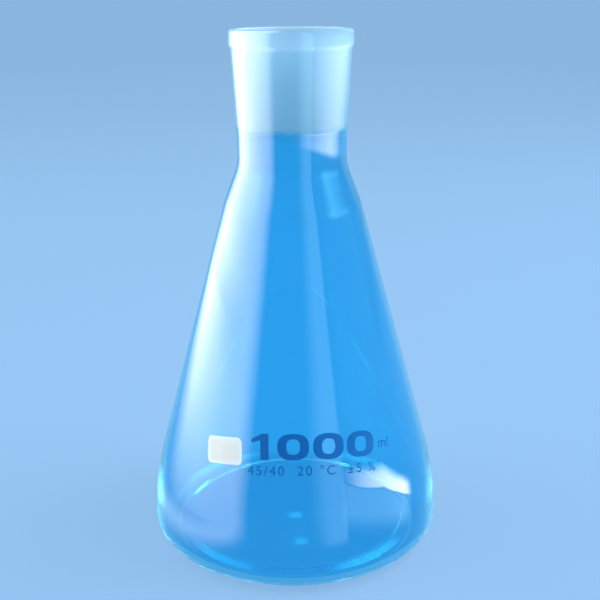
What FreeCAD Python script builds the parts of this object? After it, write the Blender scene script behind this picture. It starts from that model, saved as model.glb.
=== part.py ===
import FreeCAD, Part

import math
import os

# Conical laboratory flask of 1000 ml with a standard-taper ground socket.
# Millimetres, +Z up, origin on the flask's axis at the plane it stands on. The printed side faces -Y.
# A blown vessel and a ground socket are two pieces of glass, fused end to end at the seal.
# The third piece is the white enamel field, fired onto the cone for writing on.

# Overall size
TOTAL_HEIGHT = 226.0
BODY_DIAMETER = 131.0

# Base: a heel, a ring to stand on, and inside that ring a rounded step up to a slightly domed floor
HEEL_RADIUS = 9.0
FOOT_RING_WIDTH = 2.4
STEP_WIDTH = 3.6
STEP_HEIGHT = 1.9
STEP_FOOT_RADIUS = 4.0
STEP_TOP_RADIUS = 3.0
DOME_RADIUS = 47.5
DOME_RISE = 1.0

# Cone: its straight wall starts at the full diameter at this height and runs up to the shoulder
CONE_START_HEIGHT = 24.5
BELLY_RADIUS = 110.0
SHOULDER_DIAMETER = 59.0
SHOULDER_HEIGHT = 154.4
SHOULDER_RADIUS = 25.0
NECK_DIAMETER = 47.0
NECK_HEIGHT = 170.0
NECK_RADIUS = 18.0

# Wall of each run of the blown vessel: blown glass is thickest in the base and at the neck
FLOOR_WALL = 3.0
HEEL_WALL = 2.6
CONE_WALL = 2.0
SHOULDER_WALL = 2.3
NECK_WALL = 2.75

# Ground socket, size 45/40: diameter at the wide end, ground length, and taper on the diameter
GROUND_DIAMETER = 45.0
GROUND_LENGTH = 40.0
TAPER = 0.1
LIP = 1.0
SEAL_BELOW_GROUND = 3.0
TAIL_ABOVE_SEAL = 2.0
TAIL_DIAMETER = 47.3
TAIL_RADIUS = 8.0

# Rim: a thickened band round the socket's mouth
RIM_DIAMETER = 52.3
RIM_BAND = 6.4
RIM_SLOPE = 1.8
RIM_FOOT_RADIUS = 0.8
RIM_EDGE_RADIUS = 1.7
MOUTH_EDGE_RADIUS = 0.8
GROUND_END_RADIUS = 2.0

# Enamel field: measured along the wall, and placed by its angle from the front, -Y, towards +X
FIELD_WIDTH = 17.0
FIELD_LENGTH = 11.4
FIELD_CORNER_RADIUS = 2.2
FIELD_ANGLE = -31.8
FIELD_HEIGHT = 57.9
ENAMEL = 0.12

# Worked out from the driving dimensions
BODY_R = BODY_DIAMETER / 2
NECK_R = NECK_DIAMETER / 2
SHOULDER_R = SHOULDER_DIAMETER / 2
NECK_BORE_R = NECK_R - NECK_WALL
STEP_FOOT_R = BODY_R - HEEL_RADIUS - FOOT_RING_WIDTH
STEP_TOP_R = STEP_FOOT_R - STEP_WIDTH
DOME_EDGE_HEIGHT = STEP_HEIGHT + (STEP_TOP_R - DOME_RADIUS) * 2 * DOME_RISE / DOME_RADIUS
GROUND_TOP = TOTAL_HEIGHT - LIP
GROUND_END = GROUND_TOP - GROUND_LENGTH
SEAL_HEIGHT = GROUND_END - SEAL_BELOW_GROUND
CONE_SLOPE = (BODY_R - SHOULDER_R) / (SHOULDER_HEIGHT - CONE_START_HEIGHT)

AXIS = FreeCAD.Vector(0, 0, 1)
ORIGIN = FreeCAD.Vector(0, 0, 0)


def at(r, z):
    """A point of the section, at radius r and height z."""
    return FreeCAD.Vector(r, 0, z)


def line(start, end):
    return Part.LineSegment(start, end).toShape()


def rounded(corners):
    """Edges through the corners (r, z, radius) in order, each turned by a tangent arc of its radius."""
    edges = []
    last = at(*corners[0][:2])
    for before, corner, after in zip(corners, corners[1:], corners[2:]):
        tip = at(*corner[:2])
        radius = corner[2]
        back = (at(*before[:2]) - tip).normalize()
        ahead = (at(*after[:2]) - tip).normalize()
        half = back.getAngle(ahead) / 2
        reach = radius / math.tan(half)
        to_arc = radius / math.sin(half) - radius
        start, end = tip + back * reach, tip + ahead * reach
        middle = tip + (back + ahead).normalize() * to_arc
        edges += [line(last, start), Part.Arc(start, middle, end).toShape()]
        last = end
    edges.append(line(last, at(*corners[-1][:2])))
    return edges


def inset(corners, walls):
    """The outline inside corners, whose runs each move to their left by their own wall."""
    runs = []
    for start, end, wall in zip(corners, corners[1:], walls):
        along = (at(*end[:2]) - at(*start[:2])).normalize()
        inwards = FreeCAD.Vector(-along.z, 0, along.x)
        runs.append((at(*start[:2]) + inwards * wall, at(*end[:2]) + inwards * wall, along))
    inner = [(runs[0][0].x, runs[0][0].z, 0)]
    for index in range(1, len(runs)):
        first, second = runs[index - 1], runs[index]
        turn = first[2].x * second[2].z - first[2].z * second[2].x
        gap = second[0] - first[0]
        step = (gap.x * second[2].z - gap.z * second[2].x) / turn
        corner = first[0] + first[2] * step
        wall = (walls[index - 1] + walls[index]) / 2
        inner.append((corner.x, corner.z, corners[index][2] - math.copysign(wall, turn)))
    inner.append((runs[-1][1].x, runs[-1][1].z, 0))
    return inner


def domed(rim_r, rim_z):
    """An arc from the axis, where it is level, out to the ring (rim_r, rim_z), DOME_RISE lower down."""
    radius = (rim_r**2 + DOME_RISE**2) / (2 * DOME_RISE)
    half_angle = math.asin(rim_r / radius) / 2
    top = rim_z + DOME_RISE
    middle = at(radius * math.sin(half_angle), top - radius * (1 - math.cos(half_angle)))
    return Part.Arc(at(0, top), middle, at(rim_r, rim_z)).toShape()


def revolved(edges):
    """The solid that the closed section makes when it turns once round the flask's axis."""
    section = Part.Face(Part.Wire(Part.__sortEdges__(edges)))
    return section.revolve(ORIGIN, AXIS, 360)


def flask_body():
    """The blown vessel: pushed-up base, heel, cone, shoulder and the short neck below the seal."""
    outside = [
        (DOME_RADIUS, DOME_EDGE_HEIGHT, 0),
        (STEP_TOP_R, STEP_HEIGHT, STEP_TOP_RADIUS),
        (STEP_FOOT_R, 0, STEP_FOOT_RADIUS),
        (BODY_R, 0, HEEL_RADIUS),
        (BODY_R, CONE_START_HEIGHT, BELLY_RADIUS),
        (SHOULDER_R, SHOULDER_HEIGHT, SHOULDER_RADIUS),
        (NECK_R, NECK_HEIGHT, NECK_RADIUS),
        (NECK_R, SEAL_HEIGHT, 0),
    ]
    inside = inset(outside, [FLOOR_WALL] * 3 + [HEEL_WALL, CONE_WALL, SHOULDER_WALL, NECK_WALL])
    underside = domed(*outside[0][:2])
    floor = domed(*inside[0][:2])
    return revolved(
        [underside]
        + rounded(outside)
        + [line(at(NECK_R, SEAL_HEIGHT), at(NECK_BORE_R, SEAL_HEIGHT))]
        + rounded(inside)
        + [floor]
        + [line(underside.Vertexes[0].Point, floor.Vertexes[0].Point)]
    )


def ground_socket():
    """The taper socket: a wall that follows the ground bore, with the thickened rim round its mouth."""
    rim_r = RIM_DIAMETER / 2
    tail_r, tail_z = TAIL_DIAMETER / 2, SEAL_HEIGHT + TAIL_ABOVE_SEAL
    band_z = TOTAL_HEIGHT - RIM_BAND
    band_foot_z = band_z - RIM_SLOPE
    section = [
        (NECK_R, SEAL_HEIGHT, 0),
        (tail_r, tail_z, TAIL_RADIUS),
        (tail_r + (band_foot_z - tail_z) * TAPER / 2, band_foot_z, RIM_FOOT_RADIUS),
        (rim_r, band_z, RIM_FOOT_RADIUS),
        (rim_r, TOTAL_HEIGHT, RIM_EDGE_RADIUS),
        ((GROUND_DIAMETER + LIP * TAPER) / 2, TOTAL_HEIGHT, MOUTH_EDGE_RADIUS),
        ((GROUND_DIAMETER - GROUND_LENGTH * TAPER) / 2, GROUND_END, GROUND_END_RADIUS),
        (NECK_BORE_R, SEAL_HEIGHT, 0),
    ]
    seal = line(at(NECK_BORE_R, SEAL_HEIGHT), at(NECK_R, SEAL_HEIGHT))
    return revolved(rounded(section) + [seal])


def marking_field():
    """The enamel field: a rounded rectangle cut from a thin skin on the outside of the cone."""
    tilt = math.atan(CONE_SLOPE)
    low, high = FIELD_HEIGHT - FIELD_LENGTH, FIELD_HEIGHT + FIELD_LENGTH
    low_r, high_r = (BODY_R - (z - CONE_START_HEIGHT) * CONE_SLOPE for z in (low, high))
    out = FreeCAD.Vector(math.cos(tilt), 0, math.sin(tilt)) * ENAMEL
    wall = [at(low_r, low), at(high_r, high), at(high_r, high) + out, at(low_r, low) + out]
    skin = revolved([line(a, b) for a, b in zip(wall, wall[1:] + wall[:1])])

    depth = FIELD_WIDTH
    block = Part.makeBox(
        FIELD_WIDTH, FIELD_LENGTH, depth, FreeCAD.Vector(-FIELD_WIDTH / 2, -FIELD_LENGTH / 2, -depth / 2)
    )
    upright = [edge for edge in block.Edges if abs(edge.tangentAt(0).z) > 0.9]
    cutter = block.makeFillet(FIELD_CORNER_RADIUS, upright)
    # Print is laid out on the cone unrolled flat, where a line that is level at the front stays straight.
    # So away from the front the field turns in its own plane, by the angle that the cone unrolls to there.
    around = FreeCAD.Rotation(AXIS, FIELD_ANGLE)
    lean = FreeCAD.Rotation(FreeCAD.Vector(1, 0, 0), 90 - math.degrees(tilt))
    unrolled = FreeCAD.Rotation(AXIS, -FIELD_ANGLE * math.sin(tilt))
    centre = around.multVec(FreeCAD.Vector(0, -(low_r + high_r) / 2, FIELD_HEIGHT))
    cutter.Placement = FreeCAD.Placement(centre, around * lean * unrolled)
    return skin.common(cutter)


def main():
    os.makedirs("parts", exist_ok=True)
    for make in (flask_body, ground_socket, marking_field):
        solids = make().Solids
        print(make.__name__, len(solids), "solid, volume", round(sum(s.Volume for s in solids)), "mm3")
        Part.makeCompound(solids).exportStep(f"parts/{make.__name__}.step")


main()
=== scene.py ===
import math

import bmesh
import bpy
from mathutils import Matrix, Vector


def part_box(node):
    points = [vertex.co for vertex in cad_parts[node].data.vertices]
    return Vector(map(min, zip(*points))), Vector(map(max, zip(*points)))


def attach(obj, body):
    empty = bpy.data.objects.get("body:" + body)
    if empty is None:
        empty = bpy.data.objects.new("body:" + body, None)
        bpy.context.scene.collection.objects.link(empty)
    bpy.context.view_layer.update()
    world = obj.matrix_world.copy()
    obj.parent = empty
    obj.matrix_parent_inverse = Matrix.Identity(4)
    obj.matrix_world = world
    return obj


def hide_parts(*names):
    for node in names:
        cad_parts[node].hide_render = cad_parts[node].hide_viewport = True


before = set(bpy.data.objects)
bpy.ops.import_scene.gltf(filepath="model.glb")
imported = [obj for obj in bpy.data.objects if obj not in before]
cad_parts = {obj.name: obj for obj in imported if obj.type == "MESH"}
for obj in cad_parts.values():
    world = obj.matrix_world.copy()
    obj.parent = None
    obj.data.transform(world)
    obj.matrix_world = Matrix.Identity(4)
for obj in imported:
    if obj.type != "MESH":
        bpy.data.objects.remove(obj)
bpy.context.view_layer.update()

# A conical flask of clear glass with a ground socket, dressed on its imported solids.
# The flask's lengths are millimetres, and become metres where a mesh is made. The studio's are metres.
# The printed side faces -Y. Angles round the flask are degrees from there towards +X.
# A name that ends in _R is a distance from the axis, and one in _RADIUS is the rounding of a corner.

MM = 0.001

# Sizes that the frame gives: the widest places of the two glass pieces, and the heights where they end
body_low, body_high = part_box("flask_body")
socket_low, socket_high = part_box("ground_socket")
BODY_R = min(body_high.x - body_low.x, body_high.y - body_low.y) / 2 / MM
RIM_R = min(socket_high.x - socket_low.x, socket_high.y - socket_low.y) / 2 / MM
SEAL_HEIGHT = body_high.z / MM
TOTAL_HEIGHT = socket_high.z / MM

# Vessel's base: a heel, a ring to stand on, and inside it a rounded step up to a slightly domed floor
HEEL_RADIUS = 9.0
FOOT_RING_WIDTH = 2.4
STEP_WIDTH = 3.6
STEP_HEIGHT = 1.9
STEP_FOOT_RADIUS = 4.0
STEP_TOP_RADIUS = 3.0
DOME_R = 47.5
DOME_RISE = 1.0

# Vessel's cone, shoulder and neck, and the wall of each run
CONE_START_HEIGHT = 24.5
BELLY_RADIUS = 110.0
SHOULDER_R = 29.5
SHOULDER_HEIGHT = 154.4
SHOULDER_RADIUS = 25.0
NECK_R = 23.5
NECK_HEIGHT = 170.0
NECK_RADIUS = 18.0
FLOOR_WALL = 3.0
HEEL_WALL = 2.6
CONE_WALL = 2.0
SHOULDER_WALL = 2.3
NECK_WALL = 2.75

# Socket: a ground bore of 45/40 standard taper, its tail at the seal, and the rim band
GROUND_R = 22.5
GROUND_LENGTH = 40.0
TAPER = 0.05
LIP = 1.0
TAIL_R = 23.65
TAIL_ABOVE_SEAL = 2.0
TAIL_RADIUS = 8.0
RIM_BAND = 6.4
RIM_SLOPE = 1.8
RIM_FOOT_RADIUS = 0.8
RIM_EDGE_RADIUS = 1.7
MOUTH_EDGE_RADIUS = 0.8
GROUND_END_RADIUS = 2.0

# Worked out from the sizes above
STEP_FOOT_R = BODY_R - HEEL_RADIUS - FOOT_RING_WIDTH
STEP_TOP_R = STEP_FOOT_R - STEP_WIDTH
DOME_EDGE_HEIGHT = STEP_HEIGHT + (STEP_TOP_R - DOME_R) * 2 * DOME_RISE / DOME_R
CONE_SLOPE = (BODY_R - SHOULDER_R) / (SHOULDER_HEIGHT - CONE_START_HEIGHT)
CONE_ANGLE = math.atan(CONE_SLOPE)
APEX_HEIGHT = CONE_START_HEIGHT + BODY_R / CONE_SLOPE
NECK_BORE_R = NECK_R - NECK_WALL
GROUND_END = TOTAL_HEIGHT - LIP - GROUND_LENGTH
BAND_HEIGHT = TOTAL_HEIGHT - RIM_BAND
BAND_FOOT_HEIGHT = BAND_HEIGHT - RIM_SLOPE

# Print, laid out flat on the unrolled cone: x to the right of the front, y up from the figures' foot
FOOT_LINE_HEIGHT = 57.4
FIGURE_HEIGHT = 10.8
ONE_STEM = (-14.4, -10.9)
ONE_FLAG = ((-13.6, FIGURE_HEIGHT), (-18.2, 8.6), (-18.2, 6.9), (-14.4, 8.1))
NOUGHT_CENTRES = (-0.75, 14.0, 28.5)
NOUGHT_WIDTH = 13.0
NOUGHT_HOLE = (5.6, 6.4)
NOUGHT_SQUARENESS = 2.6
UNIT = "ml"
UNIT_PLACE = (37.3, 2.9)
UNIT_SIZE = 6.2
UNIT_SPACING = 1.0
SMALL_LINE = "45/40  20 \u00b0C  \u00b15 %"
SMALL_LINE_PLACE = (-20.0, -6.4)
SMALL_LINE_SIZE = 5.6
SMALL_LINE_SPACING = 1.25
FIELD_SIZE = (17.0, 11.4)
FIELD_PLACE = (-31.0, 3.0)
FIELD_CORNER_RADIUS = 2.2
FIELD_BORDER = 2.4
PRINT_LIFT = 0.02
INK_THICKNESS = 0.05
ENAMEL_THICKNESS = 0.12

# How finely the pieces are drawn
SEGMENTS = 256
ARC_STEP = math.radians(3)
LONGEST_RUN = 5.0
WELD_DISTANCE = 0.001
CREASE_ANGLE = math.radians(40)
PRINT_STRIP = 1
OVAL_STEPS = 64
CORNER_STEPS = 8

# Finishes of the bands of a section, in the order of the materials that its lathe is given
CLEAR, GROUND, SEAL = range(3)
FINISHES = ("Clear", "Ground", "Seal")

# Glass: its blue at each wall that light passes comes from its surroundings in the photo.
# The socket is paler, from the end of the grinding up. Waves are given by their width and length.
GLASS_IOR = 1.473
POLISHED = {"Roughness": 0.0, "IOR": GLASS_IOR, "Transmission Weight": 1.0}
GLASS_CAST = "#7DE4FC"
SOCKET_CAST = "#EAF9FF"
SOCKET_CAST_FADE = 3.0
BLOWN_WAVES = (14.0, 70.0)
DRAWN_WAVES = (9.0, 60.0)
WAVE_DEPTH = 0.03
WAVE_STRENGTH = 0.25

# Frost: its grit, its streaks and how far they eat into its lower end, the heights from the end of the
# grinding between which it sets in, and the share of the light that it scatters onwards
GRIT = 0.7
STREAKS = 12.0
STREAK_REACH = 4.0
FROST_STARTS = (-3.0, -0.5)
THROUGH_SHARE = 0.35

# Enamel: how far its tone runs before it changes, and the tooth that takes a pencil
ENAMEL_IOR = 1.5
ENAMEL_FLOW = 3.0
CREAM_GAIN = 1.8
TOOTH = 0.4
TOOTH_DEPTH = 0.02
TOOTH_STRENGTH = 0.3

# Studio, in metres: paper floor and backdrop, room light, and the cards that only mirrors or glass show
BACKDROP = "#90BDE8"
FLOOR_HALF = 40
PLAIN_SHARE = 0.85
ROOM_LIGHT = 0.4
BOUNCES = 128
WHITE = (1, 1, 1, 1)
PALE_LIGHT = "#BFEFFF"
CARD_CELLS = (30, 24)
CARD_LIFT = 0.001
NECK_CARD_R = 0.028
BASE_CARD_DISTANCE = 1.2
SOFTBOX_SIZE = 1.9
SOFTBOX_DISTANCE = 1.5
SOFTBOX_ABOVE = 46
SOFTBOX_FADES = (0.3, 0.3, 0.3, 0.3)
SOFTBOX_AIM = Vector((0, 0, 0.1))

# Camera, fitted to the flask's outline in the photo: lengths in millimetres, angles in degrees
SENSOR_WIDTH = 36.0
FOCAL_LENGTH = 58.88
CAMERA_PLACE = (0, -419.7, 240.4)
CAMERA_TURN = -0.393
CAMERA_DOWN = 17.46
CAMERA_ROLL = -0.42

# Numbers of sockets that share a name: the colours of a Mix node, and the whole numbers of a Compare node
MIX_A, MIX_B, MIX_RESULT = 6, 7, 2
WHOLE_A, WHOLE_B = 2, 3


def linear(code):
    """An sRGB hex colour as linear RGBA."""
    channels = [int(code[i : i + 2], 16) / 255 for i in (1, 3, 5)]
    return [c / 12.92 if c <= 0.04045 else ((c + 0.055) / 1.055) ** 2.4 for c in channels] + [1.0]


def add(tree, kind, sockets=None, **settings):
    """Adds a node with its settings, and fills its sockets, by name or number, with values or links."""
    made = tree.nodes.new(kind)
    for name, value in settings.items():
        setattr(made, name, value)
    for key, value in (sockets or {}).items():
        if isinstance(value, bpy.types.Node):
            value = value.outputs[0]
        if isinstance(value, bpy.types.NodeSocket):
            tree.links.new(value, made.inputs[key])
        else:
            made.inputs[key].default_value = value
    return made


def new_material(name):
    """A material of that name with no nodes yet, and its tree."""
    material = bpy.data.materials.new(name)
    material.use_nodes = True
    material.node_tree.nodes.clear()
    return material, material.node_tree


def wavy_skin(tree, place, width, length):
    """The shallow waves that glass keeps from being worked hot, drawn out along the flask."""
    scale = (1 / (width * MM), 1 / (width * MM), 1 / (length * MM))
    drawn_out = add(tree, "ShaderNodeMapping", {"Vector": place, "Scale": scale})
    waves = add(tree, "ShaderNodeTexNoise", {"Vector": drawn_out, "Scale": 1.0, "Detail": 1.0})
    return add(
        tree,
        "ShaderNodeBump",
        {"Height": waves, "Strength": WAVE_STRENGTH, "Distance": WAVE_DEPTH * MM},
    )


def blown_glass():
    """Borosilicate glass, blown and fire polished: clear, faintly wavy, blue from its surroundings."""
    material, tree = new_material("blown_borosilicate_glass")
    place = add(tree, "ShaderNodeTexCoord").outputs["Object"]
    skin = wavy_skin(tree, place, *BLOWN_WAVES)
    glass = add(
        tree,
        "ShaderNodeBsdfPrincipled",
        {"Base Color": linear(GLASS_CAST), "Normal": skin, **POLISHED},
    )
    add(tree, "ShaderNodeOutputMaterial", {"Surface": glass})
    return material


def drawn_glass():
    """Borosilicate tube, drawn and moulded to the taper: clear, and mostly paler than the blown wall."""
    material, tree = new_material("drawn_borosilicate_tube")
    place = add(tree, "ShaderNodeTexCoord").outputs["Object"]
    skin = wavy_skin(tree, place, *DRAWN_WAVES)
    height = add(tree, "ShaderNodeSeparateXYZ", {0: place}).outputs["Z"]
    above = add(
        tree,
        "ShaderNodeMapRange",
        {"Value": height, "From Min": GROUND_END * MM, "From Max": (GROUND_END + SOCKET_CAST_FADE) * MM},
        interpolation_type="SMOOTHSTEP",
    )
    cast = add(
        tree,
        "ShaderNodeMix",
        {"Factor": above, MIX_A: linear(GLASS_CAST), MIX_B: linear(SOCKET_CAST)},
        data_type="RGBA",
    )
    glass = add(
        tree,
        "ShaderNodeBsdfPrincipled",
        {"Base Color": cast.outputs[MIX_RESULT], "Normal": skin, **POLISHED},
    )
    add(tree, "ShaderNodeOutputMaterial", {"Surface": glass})
    return material


def ground_glass():
    """Borosilicate glass, ground with fine grit: it scatters light both ways and looks milky white.

    It is painted whitest at the rim band, for the light that the thick rim gathers from above, and thins
    out in streaks at the lower end of the taper, where grinding ends.
    """
    material, tree = new_material("ground_borosilicate_glass")
    place = add(tree, "ShaderNodeTexCoord").outputs["Object"]
    height = add(tree, "ShaderNodeSeparateXYZ", {0: place}).outputs["Z"]
    # Real grit is a few hundredths of a millimetre, and is drawn coarser so that it shows
    grit = add(tree, "ShaderNodeTexNoise", {"Vector": place, "Scale": 1 / (GRIT * MM), "Detail": 3.0})
    milk = add(
        tree,
        "ShaderNodeMix",
        {"Factor": grit, MIX_A: linear("#C2E5F1"), MIX_B: linear("#B4DDED")},
        data_type="RGBA",
    )
    # Painted light: over the rim band the frost turns whiter, standing in for light that the thick rim
    # gathers from above
    painted_rim_light = add(
        tree,
        "ShaderNodeMapRange",
        {"Value": height, "From Min": BAND_FOOT_HEIGHT * MM, "From Max": BAND_HEIGHT * MM},
        interpolation_type="SMOOTHSTEP",
    )
    tone = add(
        tree,
        "ShaderNodeMix",
        {"Factor": painted_rim_light, MIX_A: milk.outputs[MIX_RESULT], MIX_B: linear("#CAE9F5")},
        data_type="RGBA",
    ).outputs[MIX_RESULT]
    near = add(tree, "ShaderNodeBsdfDiffuse", {"Color": tone})
    far = add(tree, "ShaderNodeBsdfTranslucent", {"Color": tone})
    frost = add(tree, "ShaderNodeMixShader", {0: THROUGH_SHARE, 1: near, 2: far})

    streaks = add(tree, "ShaderNodeTexNoise", {"Vector": place, "Scale": 1 / (STREAKS * MM), "Detail": 1.0})
    reach = -STREAK_REACH * MM
    worn = add(tree, "ShaderNodeMath", {0: streaks, 1: reach, 2: height}, operation="MULTIPLY_ADD")
    low, high = ((GROUND_END + start) * MM for start in FROST_STARTS)
    ground = add(
        tree,
        "ShaderNodeMapRange",
        {"Value": worn, "From Min": low, "From Max": high},
        interpolation_type="SMOOTHSTEP",
    )
    clear = add(tree, "ShaderNodeBsdfPrincipled", {"Base Color": linear(GLASS_CAST), **POLISHED})
    worn_frost = add(tree, "ShaderNodeMixShader", {0: ground, 1: clear, 2: frost})
    add(tree, "ShaderNodeOutputMaterial", {"Surface": worn_frost})
    return material


def fused_seal():
    """The seal between the two pieces of glass: fused through, so nothing of it shows."""
    material, tree = new_material("fused_glass_seal")
    clear = add(tree, "ShaderNodeBsdfTransparent")
    add(tree, "ShaderNodeOutputMaterial", {"Surface": clear})
    return material


def white_enamel():
    """White ceramic enamel, screen printed and fired: matt, and creamy where it lies thickest."""
    material, tree = new_material("white_ceramic_enamel")
    place = add(tree, "ShaderNodeTexCoord").outputs["Object"]
    scale = 1 / (ENAMEL_FLOW * MM)
    flow = add(tree, "ShaderNodeTexNoise", {"Vector": place, "Scale": scale, "Detail": 3.0})
    depth = add(tree, "ShaderNodeAttribute", attribute_name="depth").outputs["Fac"]
    cream = add(tree, "ShaderNodeMath", {0: depth, 1: flow}, operation="MULTIPLY")
    cream = add(tree, "ShaderNodeMath", {0: cream, 1: CREAM_GAIN}, operation="MULTIPLY", use_clamp=True)
    tone = add(
        tree,
        "ShaderNodeMix",
        {"Factor": cream, MIX_A: linear("#DFE9E9"), MIX_B: linear("#DCD8CB")},
        data_type="RGBA",
    ).outputs[MIX_RESULT]
    grain = add(tree, "ShaderNodeTexNoise", {"Vector": place, "Scale": 1 / (TOOTH * MM), "Detail": 2.0})
    tooth = add(
        tree,
        "ShaderNodeBump",
        {"Height": grain, "Strength": TOOTH_STRENGTH, "Distance": TOOTH_DEPTH * MM},
    )
    enamel = add(
        tree,
        "ShaderNodeBsdfPrincipled",
        {"Base Color": tone, "Roughness": 0.6, "IOR": ENAMEL_IOR, "Normal": tooth},
    )
    add(tree, "ShaderNodeOutputMaterial", {"Surface": enamel})
    return material


def blue_enamel():
    """Blue ceramic enamel, screen printed and fired: satin, its ink uneven from one spot to the next."""
    material, tree = new_material("blue_ceramic_enamel")
    place = add(tree, "ShaderNodeTexCoord").outputs["Object"]
    scale = 1 / (ENAMEL_FLOW * MM)
    flow = add(tree, "ShaderNodeTexNoise", {"Vector": place, "Scale": scale, "Detail": 4.0})
    tone = add(
        tree,
        "ShaderNodeMix",
        {"Factor": flow, MIX_A: linear("#00589C"), MIX_B: linear("#0066AA")},
        data_type="RGBA",
    ).outputs[MIX_RESULT]
    enamel = add(
        tree,
        "ShaderNodeBsdfPrincipled",
        {"Base Color": tone, "Roughness": 0.4, "IOR": ENAMEL_IOR, "Specular IOR Level": 0.15},
    )
    add(tree, "ShaderNodeOutputMaterial", {"Surface": enamel})
    return material


def run(start, end):
    """Points from start to end in a straight line, both ends included, at most LONGEST_RUN apart."""
    count = max(1, math.ceil((end - start).length / LONGEST_RUN))
    return [start.lerp(end, i / count) for i in range(count + 1)]


def arc(centre, start, turn):
    """Points of the arc from start that turns round centre, at most ARC_STEP and LONGEST_RUN apart."""
    length = abs(turn) * (start - centre).length
    count = max(math.ceil(abs(turn) / ARC_STEP), math.ceil(length / LONGEST_RUN))
    return [centre + Matrix.Rotation(turn * i / count, 2) @ (start - centre) for i in range(count + 1)]


def rounded(corners):
    """Points through the corners (r, z, radius) in order, each turned by a tangent arc of its radius."""
    points = []
    last = Vector(corners[0][:2])
    for before, corner, after in zip(corners, corners[1:], corners[2:]):
        tip = Vector(corner[:2])
        radius = corner[2]
        back = (Vector(before[:2]) - tip).normalized()
        ahead = (Vector(after[:2]) - tip).normalized()
        half = back.angle(ahead) / 2
        start = tip + back * radius / math.tan(half)
        centre = tip + (back + ahead).normalized() * radius / math.sin(half)
        turn = math.copysign(math.pi - 2 * half, ahead.x * back.y - ahead.y * back.x)
        bend = arc(centre, start, turn)
        points += run(last, start)[:-1] + bend[:-1]
        last = bend[-1]
    return points + run(last, Vector(corners[-1][:2]))


def inset(corners, walls):
    """The corners inside an outline whose runs each move to their left by their own wall."""
    runs = []
    for start, end, wall in zip(corners, corners[1:], walls):
        start, end = Vector(start[:2]), Vector(end[:2])
        along = (end - start).normalized()
        shift = along.orthogonal() * wall
        runs.append((start + shift, end + shift, along))
    inner = [(*runs[0][0], 0)]
    for index in range(1, len(runs)):
        start, _, before = runs[index - 1]
        onward, _, after = runs[index]
        turn = before.x * after.y - before.y * after.x
        gap = onward - start
        corner = start + before * (gap.x * after.y - gap.y * after.x) / turn
        wall = (walls[index - 1] + walls[index]) / 2
        inner.append((*corner, corners[index][2] - math.copysign(wall, turn)))
    return inner + [(*runs[-1][1], 0)]


def domed(rim_r, rim_z):
    """Points of an arc that is level at the axis and ends at the ring (rim_r, rim_z), DOME_RISE lower."""
    radius = (rim_r**2 + DOME_RISE**2) / (2 * DOME_RISE)
    top = Vector((0, rim_z + DOME_RISE))
    return arc(top - Vector((0, radius)), top, -math.asin(rim_r / radius))


def vessel_section():
    """The blown vessel's section, from its outside at the axis round to its inside at the axis."""
    outside = [
        (DOME_R, DOME_EDGE_HEIGHT, 0),
        (STEP_TOP_R, STEP_HEIGHT, STEP_TOP_RADIUS),
        (STEP_FOOT_R, 0, STEP_FOOT_RADIUS),
        (BODY_R, 0, HEEL_RADIUS),
        (BODY_R, CONE_START_HEIGHT, BELLY_RADIUS),
        (SHOULDER_R, SHOULDER_HEIGHT, SHOULDER_RADIUS),
        (NECK_R, NECK_HEIGHT, NECK_RADIUS),
        (NECK_R, SEAL_HEIGHT, 0),
    ]
    inside = inset(outside, [FLOOR_WALL] * 3 + [HEEL_WALL, CONE_WALL, SHOULDER_WALL, NECK_WALL])
    outer = domed(*outside[0][:2])[:-1] + rounded(outside)
    inner = domed(*inside[0][:2])[:-1] + rounded(inside)
    finishes = [CLEAR] * (len(outer) - 1) + [SEAL] + [CLEAR] * len(inner)
    return outer + inner[::-1], finishes


def socket_section():
    """The ground socket's section, from the seal up its outside, over the rim and down the ground bore."""
    tail_z = SEAL_HEIGHT + TAIL_ABOVE_SEAL
    section = rounded(
        [
            (NECK_R, SEAL_HEIGHT, 0),
            (TAIL_R, tail_z, TAIL_RADIUS),
            (TAIL_R + (BAND_FOOT_HEIGHT - tail_z) * TAPER, BAND_FOOT_HEIGHT, RIM_FOOT_RADIUS),
            (RIM_R, BAND_HEIGHT, RIM_FOOT_RADIUS),
            (RIM_R, TOTAL_HEIGHT, RIM_EDGE_RADIUS),
            (GROUND_R + LIP * TAPER, TOTAL_HEIGHT, MOUTH_EDGE_RADIUS),
            (GROUND_R - GROUND_LENGTH * TAPER, GROUND_END, GROUND_END_RADIUS),
            (NECK_BORE_R, SEAL_HEIGHT, 0),
        ]
    )
    # The bore is ground from the edge of the mouth down to the end of the taper
    mouth = max(range(len(section)), key=lambda i: section[i].y - section[i].x)
    finishes = []
    for index, point in enumerate(section):
        on_taper = index > mouth and GROUND_END - GROUND_END_RADIUS / 2 < point.y
        finishes.append(GROUND if on_taper else CLEAR)
    finishes[-1] = SEAL
    return section + section[:1], finishes + [CLEAR]


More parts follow.
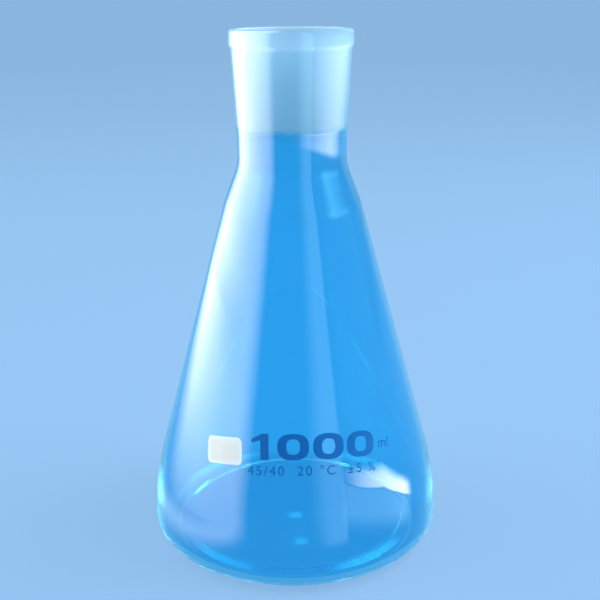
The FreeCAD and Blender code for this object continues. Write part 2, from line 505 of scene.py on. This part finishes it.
def lathe_tree():
    """Geometry Nodes that turn a section, given as points in the XZ plane, once round the Z axis."""
    tree = bpy.data.node_groups.new("lathe", "GeometryNodeTree")
    interface = tree.interface
    interface.new_socket("Section", in_out="INPUT", socket_type="NodeSocketGeometry")
    interface.new_socket("Segments", in_out="INPUT", socket_type="NodeSocketInt")
    for name in FINISHES:
        interface.new_socket(name, in_out="INPUT", socket_type="NodeSocketMaterial")
    interface.new_socket("Piece", in_out="OUTPUT", socket_type="NodeSocketGeometry")
    given = add(tree, "NodeGroupInput").outputs
    section = given["Section"]

    # A flat grid, with a row for each point of the section and a column for each step round the axis
    size = add(tree, "GeometryNodeAttributeDomainSize", {"Geometry": section}, component="MESH")
    count = size.outputs["Point Count"]
    columns = add(tree, "ShaderNodeMath", {0: given["Segments"], 1: 1.0}, operation="ADD")
    grid = add(
        tree,
        "GeometryNodeMeshGrid",
        {"Size X": 1.0, "Size Y": 1.0, "Vertices X": count, "Vertices Y": columns},
    )
    place = add(tree, "ShaderNodeSeparateXYZ", {0: add(tree, "GeometryNodeInputPosition")}).outputs
    along = add(tree, "ShaderNodeMath", {0: place["X"], 1: 0.5}, operation="ADD")
    last = add(tree, "ShaderNodeMath", {0: count, 1: 1.0}, operation="SUBTRACT")
    row = add(tree, "ShaderNodeMath", {0: along, 1: last}, operation="MULTIPLY")
    angle = add(tree, "ShaderNodeMath", {0: place["Y"], 1: math.tau, 2: math.pi}, operation="MULTIPLY_ADD")

    # Each face takes the finish of the section's point that its band starts at
    finish = add(tree, "GeometryNodeInputNamedAttribute", {"Name": "finish"}, data_type="INT")
    band = add(tree, "ShaderNodeMath", {0: row}, operation="FLOOR")
    banded = add(
        tree,
        "GeometryNodeSampleIndex",
        {"Geometry": section, "Value": finish.outputs["Attribute"], "Index": band},
        data_type="INT",
        domain="POINT",
    )
    kept = add(
        tree,
        "GeometryNodeStoreNamedAttribute",
        {"Geometry": grid, "Name": "band", "Value": banded},
        data_type="INT",
        domain="FACE",
    )

    # Each point of the grid goes to its point of the section, turned to its own step
    nearest = add(tree, "ShaderNodeMath", {0: row}, operation="ROUND")
    point = add(
        tree,
        "GeometryNodeSampleIndex",
        {"Geometry": section, "Value": add(tree, "GeometryNodeInputPosition"), "Index": nearest},
        data_type="FLOAT_VECTOR",
        domain="POINT",
    )
    turned = add(tree, "ShaderNodeVectorRotate", {"Vector": point, "Angle": angle}, rotation_type="Z_AXIS")
    shell = add(tree, "GeometryNodeSetPosition", {"Geometry": kept, "Position": turned})
    closed = add(tree, "GeometryNodeMergeByDistance", {"Geometry": shell, "Distance": WELD_DISTANCE * MM})
    outwards = add(tree, "GeometryNodeFlipFaces", {"Mesh": closed})
    smooth = add(tree, "GeometryNodeSetShadeSmooth", {"Geometry": outwards})
    done = add(tree, "GeometryNodeRealizeInstances", {"Geometry": smooth})
    done = add(tree, "GeometryNodeSetMaterial", {"Geometry": done, "Material": given["Clear"]})
    for number in (GROUND, SEAL):
        stored = add(tree, "GeometryNodeInputNamedAttribute", {"Name": "band"}, data_type="INT")
        chosen = add(
            tree,
            "FunctionNodeCompare",
            {WHOLE_A: stored.outputs["Attribute"], WHOLE_B: number},
            data_type="INT",
            operation="EQUAL",
        )
        done = add(
            tree,
            "GeometryNodeSetMaterial",
            {"Geometry": done, "Selection": chosen, "Material": given[FINISHES[number]]},
        )
    add(tree, "NodeGroupOutput", {"Piece": done})
    return tree


def grown(name, mesh, tree, inputs):
    """A plain mesh object: what the tree makes of the mesh with these inputs, which go by name here."""
    piece = bpy.data.objects.new(name, mesh)
    bpy.context.scene.collection.objects.link(piece)
    modifier = piece.modifiers.new("grow", "NODES")
    modifier.node_group = tree
    for item in tree.interface.items_tree:
        if item.in_out == "INPUT" and item.name in inputs:
            modifier[item.identifier] = inputs[item.name]
    depsgraph = bpy.context.evaluated_depsgraph_get()
    result = bpy.data.meshes.new_from_object(piece.evaluated_get(depsgraph))
    piece.modifiers.clear()
    piece.data = result
    result.name = name
    used = {face.material_index for face in result.polygons}
    for index in reversed(range(len(result.materials))):
        if index not in used:
            result.materials.pop(index=index)
    return piece


def lathe(name, section, finishes, materials):
    """A piece of glass turned from its section, each band of the section with its own material."""
    points = [(p.x * MM, 0, p.y * MM) for p in section]
    mesh = bpy.data.meshes.new(name + "_section")
    mesh.from_pydata(points, [(i, i + 1) for i in range(len(points) - 1)], [])
    mesh.attributes.new("finish", "INT", "POINT").data.foreach_set("value", finishes)
    inputs = dict(zip(FINISHES, materials), Segments=SEGMENTS)
    piece = grown(name, mesh, lathe_tree(), inputs)
    piece.data.set_sharp_from_angle(angle=CREASE_ANGLE)
    return piece


def wrap_tree():
    """Geometry Nodes that give flat print its thickness and lay it round the cone."""
    tree = bpy.data.node_groups.new("wrap", "GeometryNodeTree")
    interface = tree.interface
    interface.new_socket("Print", in_out="INPUT", socket_type="NodeSocketGeometry")
    for name in ("Apex Height", "Cone Angle", "Foot Distance", "Lift", "Thickness"):
        interface.new_socket(name, in_out="INPUT", socket_type="NodeSocketFloat")
    interface.new_socket("Ink", in_out="INPUT", socket_type="NodeSocketMaterial")
    interface.new_socket("Piece", in_out="OUTPUT", socket_type="NodeSocketGeometry")
    given = add(tree, "NodeGroupInput").outputs

    # A closed slab: the print pushed up by its thickness, with a turned copy of itself underneath
    pushed = add(
        tree,
        "GeometryNodeExtrudeMesh",
        {"Mesh": given["Print"], "Offset Scale": given["Thickness"], "Individual": False},
    )
    under = add(tree, "GeometryNodeFlipFaces", {"Mesh": given["Print"]})
    both = add(tree, "GeometryNodeJoinGeometry", {"Geometry": pushed})
    tree.links.new(under.outputs[0], both.inputs["Geometry"])
    slab = add(tree, "GeometryNodeMergeByDistance", {"Geometry": both, "Distance": WELD_DISTANCE * MM})

    # Distance and angle from the unrolled cone's apex become a distance down the wall and an angle round it
    flat = add(tree, "ShaderNodeSeparateXYZ", {0: add(tree, "GeometryNodeInputPosition")}).outputs
    down = add(tree, "ShaderNodeMath", {0: given["Foot Distance"], 1: flat["Y"]}, operation="SUBTRACT")
    from_apex = add(tree, "ShaderNodeCombineXYZ", {"X": flat["X"], "Y": down})
    slant = add(tree, "ShaderNodeVectorMath", {0: from_apex}, operation="LENGTH").outputs["Value"]
    swing = add(tree, "ShaderNodeMath", {0: flat["X"], 1: down}, operation="ARCTAN2")
    height = add(tree, "ShaderNodeMath", {0: flat["Z"], 1: given["Lift"]}, operation="ADD")
    sine = add(tree, "ShaderNodeMath", {0: given["Cone Angle"]}, operation="SINE")
    cosine = add(tree, "ShaderNodeMath", {0: given["Cone Angle"]}, operation="COSINE")
    turn = add(tree, "ShaderNodeMath", {0: swing, 1: sine}, operation="DIVIDE")
    wall_r = add(tree, "ShaderNodeMath", {0: slant, 1: sine}, operation="MULTIPLY")
    radius = add(tree, "ShaderNodeMath", {0: height, 1: cosine, 2: wall_r}, operation="MULTIPLY_ADD")
    drop = add(tree, "ShaderNodeMath", {0: slant, 1: cosine}, operation="MULTIPLY")
    wall_z = add(tree, "ShaderNodeMath", {0: given["Apex Height"], 1: drop}, operation="SUBTRACT")
    level = add(tree, "ShaderNodeMath", {0: height, 1: sine, 2: wall_z}, operation="MULTIPLY_ADD")
    forwards = add(tree, "ShaderNodeMath", {0: radius, 1: -1.0}, operation="MULTIPLY")
    front = add(tree, "ShaderNodeCombineXYZ", {"Y": forwards, "Z": level})
    turned = add(tree, "ShaderNodeVectorRotate", {"Vector": front, "Angle": turn}, rotation_type="Z_AXIS")
    laid = add(tree, "GeometryNodeSetPosition", {"Geometry": slab, "Position": turned})
    done = add(tree, "GeometryNodeRealizeInstances", {"Geometry": laid})
    done = add(tree, "GeometryNodeSetMaterial", {"Geometry": done, "Material": given["Ink"]})
    add(tree, "NodeGroupOutput", {"Piece": done})
    return tree


def printed(name, shape, thickness, ink):
    """A piece of print on the cone, from its flat shape, which is cut into strips that can curve."""
    low = math.floor(min(v.co.x for v in shape.verts))
    high = math.ceil(max(v.co.x for v in shape.verts))
    for x in range(low, high, PRINT_STRIP):
        everything = shape.verts[:] + shape.edges[:] + shape.faces[:]
        bmesh.ops.bisect_plane(shape, geom=everything, plane_co=(x, 0, 0), plane_no=(1, 0, 0))
    bmesh.ops.scale(shape, vec=(MM, MM, MM), verts=shape.verts)
    mesh = bpy.data.meshes.new(name + "_flat")
    shape.to_mesh(mesh)
    shape.free()
    inputs = {
        "Apex Height": APEX_HEIGHT * MM,
        "Cone Angle": CONE_ANGLE,
        "Foot Distance": (APEX_HEIGHT - FOOT_LINE_HEIGHT) / math.cos(CONE_ANGLE) * MM,
        "Lift": PRINT_LIFT * MM,
        "Thickness": thickness * MM,
        "Ink": ink,
    }
    return grown(name, mesh, wrap_tree(), inputs)


def loop_of(shape, points):
    """New corners of the flat shape at these points, in order."""
    return [shape.verts.new((x, y, 0)) for x, y in points]


def band_between(shape, outer, inner):
    """Faces that fill the band between two loops with the same number of points."""
    count = len(outer)
    for i in range(count):
        following = (i + 1) % count
        shape.faces.new((outer[i], outer[following], inner[following], inner[i]))


def oval(centre, width, height):
    """Points round an oval that is squarer than an ellipse."""
    points = []
    for i in range(OVAL_STEPS):
        angle = math.tau * i / OVAL_STEPS
        c, s = math.cos(angle), math.sin(angle)
        x = math.copysign(abs(c) ** (2 / NOUGHT_SQUARENESS), c) * width / 2
        y = math.copysign(abs(s) ** (2 / NOUGHT_SQUARENESS), s) * height / 2
        points.append((centre[0] + x, centre[1] + y))
    return points


def capacity_figures():
    """The capacity in wide bold figures: a one with a slanted flag, and three round noughts."""
    shape = bmesh.new()
    left, right = ONE_STEM
    shape.faces.new(loop_of(shape, [(left, 0), (right, 0), (right, FIGURE_HEIGHT), *ONE_FLAG]))
    for x in NOUGHT_CENTRES:
        middle = (x, FIGURE_HEIGHT / 2)
        outer = loop_of(shape, oval(middle, NOUGHT_WIDTH, FIGURE_HEIGHT))
        band_between(shape, outer, loop_of(shape, oval(middle, *NOUGHT_HOLE)))
    return shape


def lettered(shape, words, place, size, spacing):
    """Adds words in the plain built-in letters, their first foot at place."""
    curve = bpy.data.curves.new("letters", "FONT")
    curve.body = words
    curve.size = size
    curve.space_character = spacing
    holder = bpy.data.objects.new("letters", curve)
    letters = bpy.data.meshes.new_from_object(holder)
    letters.transform(Matrix.Translation((*place, 0)))
    shape.from_mesh(letters)
    bpy.data.objects.remove(holder)
    bpy.data.meshes.remove(letters)


def rounded_box(centre, width, height, radius):
    """Points round a box with round corners, from the middle of its right side."""
    points = []
    for quarter, (side, end) in enumerate(((1, 1), (-1, 1), (-1, -1), (1, -1))):
        x = centre[0] + side * (width / 2 - radius)
        y = centre[1] + end * (height / 2 - radius)
        for i in range(CORNER_STEPS + 1):
            angle = math.pi / 2 * quarter + math.pi / 2 * i / CORNER_STEPS
            points.append((x + radius * math.cos(angle), y + radius * math.sin(angle)))
    return points


def writing_field():
    """The field to write on: a box with round corners, and in it a smaller one where enamel is thickest."""
    shape = bmesh.new()
    depth = shape.verts.layers.float.new("depth")
    width, height = FIELD_SIZE
    outer = loop_of(shape, rounded_box(FIELD_PLACE, width, height, FIELD_CORNER_RADIUS))
    width, height = width - 2 * FIELD_BORDER, height - 2 * FIELD_BORDER
    inner = loop_of(shape, rounded_box(FIELD_PLACE, width, height, FIELD_CORNER_RADIUS / 2))
    for vert in inner:
        vert[depth] = 1.0
    band_between(shape, outer, inner)
    shape.faces.new(inner)
    return shape


def seen_directly(tree):
    """1 for rays from the camera and for what mirrors and glass show, 0 for light that falls on things."""
    path = add(tree, "ShaderNodeLightPath").outputs
    seen = add(
        tree,
        "ShaderNodeMath",
        {0: path["Is Camera Ray"], 1: path["Is Glossy Ray"]},
        operation="MAXIMUM",
    )
    return add(tree, "ShaderNodeMath", {0: seen, 1: path["Is Transmission Ray"]}, operation="MAXIMUM")


def paper_floor():
    """Pale blue paper to stand on: mostly an even tone, with a share of the light and shadow on it."""
    material, tree = new_material("paper_floor")
    share = add(tree, "ShaderNodeMath", {0: seen_directly(tree), 1: PLAIN_SHARE}, operation="MULTIPLY")
    lit = add(tree, "ShaderNodeBsdfDiffuse", {"Color": linear(BACKDROP)})
    plain = add(tree, "ShaderNodeEmission", {"Color": linear(BACKDROP), "Strength": 1.0})
    paper = add(tree, "ShaderNodeMixShader", {0: share, 1: lit, 2: plain})
    add(tree, "ShaderNodeOutputMaterial", {"Surface": paper})
    low, high = -FLOOR_HALF, FLOOR_HALF
    corners = [(low, low, 0), (high, low, 0), (high, high, 0), (low, high, 0)]
    mesh = bpy.data.meshes.new("floor")
    mesh.from_pydata(corners, [], [(0, 1, 2, 3)])
    mesh.materials.append(material)
    floor = bpy.data.objects.new("floor", mesh)
    bpy.context.scene.collection.objects.link(floor)


def room():
    """The same blue as a backdrop where it is seen, and dim white light from all sides."""
    world = bpy.data.worlds.new("studio")
    world.use_nodes = True
    world.node_tree.nodes.clear()
    tree = world.node_tree
    light = add(tree, "ShaderNodeBackground", {"Color": WHITE, "Strength": ROOM_LIGHT})
    shown = add(tree, "ShaderNodeBackground", {"Color": linear(BACKDROP), "Strength": 1.0})
    mixed = add(tree, "ShaderNodeMixShader", {0: seen_directly(tree), 1: light, 2: shown})
    add(tree, "ShaderNodeOutputWorld", {"Surface": mixed})
    bpy.context.scene.world = world


def point_along(points, share):
    """The point at a share of the way along a chain of points."""
    place = share * (len(points) - 1)
    index = min(int(place), len(points) - 2)
    return Vector(points[index]).lerp(Vector(points[index + 1]), place - index)


def faded(tree, spread, level, fades):
    """The level over a spread of 0 to 1 each way, falling to 0 at its start, end, foot and top.

    Each fade is the share of the spread that the fall takes, and an edge with a fade of 0 stays sharp.
    """
    spot = add(tree, "ShaderNodeSeparateXYZ", {0: spread}).outputs
    for axis, edge, inwards, fade in zip("XXYY", (0, 1, 0, 1), (1, -1, 1, -1), fades):
        if not fade:
            continue
        share = add(
            tree,
            "ShaderNodeMapRange",
            {"Value": spot[axis], "From Min": edge, "From Max": edge + inwards * fade},
            interpolation_type="SMOOTHSTEP",
        )
        level = add(tree, "ShaderNodeMath", {0: level, 1: share}, operation="MULTIPLY")
    return level


def glow_card(name, edges, strength, fades, colour=WHITE, mirrored=True):
    """A card of light between a lower and an upper edge, which only mirrors see, or else only glass."""
    lower, upper = edges
    across, up = CARD_CELLS
    grid = bmesh.new()
    grid.loops.layers.uv.new("spread")
    # The grid is 1 wide and 1 high, with its middle at 0
    bmesh.ops.create_grid(grid, x_segments=across, y_segments=up, size=0.5, calc_uvs=True)
    for vert in grid.verts:
        share = vert.co.x + 0.5
        vert.co = point_along(lower, share).lerp(point_along(upper, share), vert.co.y + 0.5)
    mesh = bpy.data.meshes.new(name)
    grid.to_mesh(mesh)
    grid.free()

    material, tree = new_material(name)
    level = faded(tree, add(tree, "ShaderNodeTexCoord").outputs["UV"], strength, fades)
    glow = add(tree, "ShaderNodeEmission", {"Color": colour, "Strength": level})
    through = add(tree, "ShaderNodeBsdfTransparent")
    both = add(tree, "ShaderNodeAddShader", {0: glow, 1: through})
    add(tree, "ShaderNodeOutputMaterial", {"Surface": both})
    mesh.materials.append(material)
    card = bpy.data.objects.new(name, mesh)
    bpy.context.scene.collection.objects.link(card)
    card.visible_camera = card.visible_diffuse = card.visible_shadow = False
    card.visible_glossy = mirrored
    card.visible_transmission = not mirrored


def on_floor(*places):
    """Points just above the floor at these places."""
    return [(*place, CARD_LIFT) for place in places]


def upright(start, end, height):
    """Edges of an upright card that stands over the line from start to end on the floor."""
    return [(*start, 0), (*end, 0)], [(*start, height), (*end, height)]


def at_left(away, low_depths, high_depths, heights):
    """Edges of an upright card to the left of the axis, from the depths and heights of its corners."""
    return [[(-away, y, z) for y in depths] for depths, z in zip((low_depths, high_depths), heights)]


def round_neck(start, end, *edges):
    """Edges of a card curved close round the neck between two angles, from the heights along each edge."""
    curved = []
    for heights in edges:
        step = (end - start) / (len(heights) - 1)
        points = []
        for index, z in enumerate(heights):
            turn = math.radians(start + step * index)
            points.append((NECK_CARD_R * math.sin(turn), -NECK_CARD_R * math.cos(turn), z))
        curved.append(points)
    return curved


def facing(turn, above):
    """The rotation from in front of the flask to an angle round it and an angle above the floor."""
    return Matrix.Rotation(math.radians(turn), 3, "Z") @ Matrix.Rotation(math.radians(-above), 3, "X")


def hung(turn, above, width, height):
    """Edges of a card that faces the middle of the base from BASE_CARD_DISTANCE away."""
    turned = facing(turn, above)
    sides = (-0.5, 0.5)
    return [[turned @ Vector((x * width, -BASE_CARD_DISTANCE, z * height)) for x in sides] for z in sides]


def window_at_left():
    """A tall window, dimmer towards its foot, which slants in from behind and runs out onto the floor.

    Cards that overlap stand 2 mm apart: a ray that meets two in one plane misses one of them at random.
    """
    for name, away, low_depths, high_depths, heights, strength, fades in (
        ("window", 0.140, (-0.23, 0.23), (-0.23, 0.23), (0.1, 0.9), 6.2, (0.26, 0.45, 0, 0.1)),
        ("window_low", 0.140, (-0.23, 0.05), (-0.23, 0.23), (0, 0.1), 2.6, (0.26, 0.45, 1, 0)),
        ("window_foot", 0.142, (-0.23, 0.05), (-0.23, 0.23), (0, 0.1), 4.0, (0.26, 0.6, 0, 0)),
        ("core", 0.144, (-0.09, 0.13), (-0.09, 0.13), (0.12, 0.9), 1.8, (0.45, 0.3, 0, 0.1)),
        ("core_low", 0.144, (-0.11, 0.02), (-0.09, 0.13), (0, 0.12), 3.4, (0.45, 0.3, 1, 0)),
        ("neck", 0.146, (-0.14, 0.13), (-0.14, 0.13), (0.12, 0.26), 2.5, (0.4, 0.3, 0.2, 0.2)),
    ):
        glow_card(name + "_card", at_left(away, low_depths, high_depths, heights), strength, fades)
    sheet = on_floor((-0.14, -0.23), (-0.14, 0.05)), on_floor((-0.04, -0.095), (-0.095, 0.05))
    glow_card("window_sheet_card", sheet, 4.0, (0.26, 0.74, 0, 0.4))


def strip_at_right_front():
    """A tall pale strip, the floor that it lights on the way to the flask, and a faint haze beside it."""
    pale = linear(PALE_LIGHT)
    start, end = (0.12, -0.78), (0.51, -0.60)
    foot = on_floor((0.02, -0.105), (0.055, -0.097)), on_floor(start, end)
    glow_card("strip_card", upright(start, end, 1.2), 2.5, (0.6, 0.12, 0, 0.1), pale)
    glow_card("strip_foot_card", foot, 2.5, (0.6, 0.12, 0.05, 0), pale)
    glow_card("haze_card", upright((0.46, -0.64), (0.9, 0.3), 1.5), 0.35, (0.2, 0.2, 0.05, 0.1), pale)


def light_round_neck():
    """Light on the right side of the socket, and under the frost a white patch with a slanted foot."""
    patch_foot = (0.179, 0.1775, 0.1748, 0.1725, 0.172)
    patch_top = (0.1845,) * len(patch_foot)
    socket_top = (0.2215,) * len(patch_foot)
    glow_card("socket_card", round_neck(12, 86, patch_top, socket_top), 4.5, (0.46, 0.45, 0, 0.15))
    glow_card("patch_card", round_neck(0, 74, patch_foot, patch_top), 9.2, (0.68, 0.38, 0.35, 0))


def sheet_at_right():
    """A pale table top that slopes up, and a bright sheet of paper that stands along its far edge."""
    table_front = on_floor((0.07, -0.145), (0.08, -0.065), (0.08, -0.03))
    sheet_foot = ((0.14, -0.22, 0.053), (0.14, -0.075, 0.03), (0.14, -0.01, 0.002))
    sheet_top = ((0.14, -0.21, 0.063), (0.14, -0.065, 0.045), (0.14, -0.005, 0.02))
    glow_card("table_card", (table_front, sheet_foot), 3.0, (0.15, 0.2, 0.5, 0), linear(PALE_LIGHT))
    glow_card("sheet_card", (sheet_foot, sheet_top), 15.0, (0.65, 0.2, 0.15, 0.5))


def lights_behind():
    """Small windows behind the flask that only its base bends into sight, as arcs and sparks of light."""
    for name, edges, strength, fades in (
        ("arc", hung(150, 42, 0.14, 0.9), 6.0, (0.3, 0.3, 0.2, 0.2)),
        ("upper_spark", hung(180, 32, 0.05, 0.035), 2.5, (0.4, 0.4, 0.4, 0.4)),
        ("lower_spark", hung(179.2, 36.5, 0.05, 0.035), 2.5, (0.4, 0.4, 0.4, 0.4)),
    ):
        glow_card(name + "_card", edges, strength, fades, mirrored=False)


def softbox(name, turn, radiance):
    """A large square lamp with soft edges, aimed at the middle of the flask and not mirrored in it."""
    lamp = bpy.data.lights.new(name, "AREA")
    lamp.shape = "SQUARE"
    lamp.size = SOFTBOX_SIZE
    lamp.energy = radiance * math.pi * SOFTBOX_SIZE**2
    lamp.use_nodes = True
    tree = lamp.node_tree
    tree.nodes.clear()
    level = faded(tree, add(tree, "ShaderNodeNewGeometry").outputs["Parametric"], 1.0, SOFTBOX_FADES)
    glow = add(tree, "ShaderNodeEmission", {"Strength": level})
    add(tree, "ShaderNodeOutputLight", {"Surface": glow})
    holder = bpy.data.objects.new(name, lamp)
    holder.location = SOFTBOX_AIM + facing(turn, SOFTBOX_ABOVE) @ Vector((0, -SOFTBOX_DISTANCE, 0))
    holder.rotation_euler = (SOFTBOX_AIM - holder.location).to_track_quat("-Z", "Y").to_euler()
    holder.visible_camera = holder.visible_glossy = False
    bpy.context.scene.collection.objects.link(holder)


def camera():
    """The camera where the photo's stood: in front of the print, looking a little down."""
    lens = bpy.data.cameras.new("camera")
    lens.sensor_width = SENSOR_WIDTH
    lens.lens = FOCAL_LENGTH
    holder = bpy.data.objects.new("camera", lens)
    holder.matrix_world = (
        Matrix.Translation(Vector(CAMERA_PLACE) * MM)
        @ Matrix.Rotation(math.radians(CAMERA_TURN), 4, "Z")
        @ Matrix.Rotation(math.radians(90 - CAMERA_DOWN), 4, "X")
        @ Matrix.Rotation(math.radians(CAMERA_ROLL), 4, "Z")
    )
    bpy.context.scene.collection.objects.link(holder)
    bpy.context.scene.camera = holder


def studio():
    """Pale blue paper under two softboxes, with cards of light that show only in the flask."""
    scene = bpy.context.scene
    scene.view_settings.view_transform = "Standard"
    # Light runs along inside the glass of the heel and rim, so a path may turn more often than usual
    scene.cycles.max_bounces = scene.cycles.transmission_bounces = BOUNCES
    scene.cycles.glossy_bounces = BOUNCES
    paper_floor()
    room()
    window_at_left()
    strip_at_right_front()
    light_round_neck()
    sheet_at_right()
    lights_behind()
    softbox("left_softbox", -95, 4.0)
    softbox("right_softbox", 95, 7.2)
    camera()


frost, seal = ground_glass(), fused_seal()
vessel = lathe("blown_vessel", *vessel_section(), (blown_glass(), frost, seal))
socket = lathe("ground_joint", *socket_section(), (drawn_glass(), frost, seal))

figures = capacity_figures()
lettered(figures, UNIT, UNIT_PLACE, UNIT_SIZE, UNIT_SPACING)
lettered(figures, SMALL_LINE, SMALL_LINE_PLACE, SMALL_LINE_SIZE, SMALL_LINE_SPACING)
marks = printed("capacity_print", figures, INK_THICKNESS, blue_enamel())
field = printed("enamel_field", writing_field(), ENAMEL_THICKNESS, white_enamel())

for piece, slot, node in (
    (vessel, "clear_glass", "flask_body"),
    (socket, "ground_glass", "ground_socket"),
    (field, "white_enamel", "marking_field"),
    (marks, "blue_enamel", None),
):
    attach(piece, "root")
    if node:
        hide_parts(node)

studio()
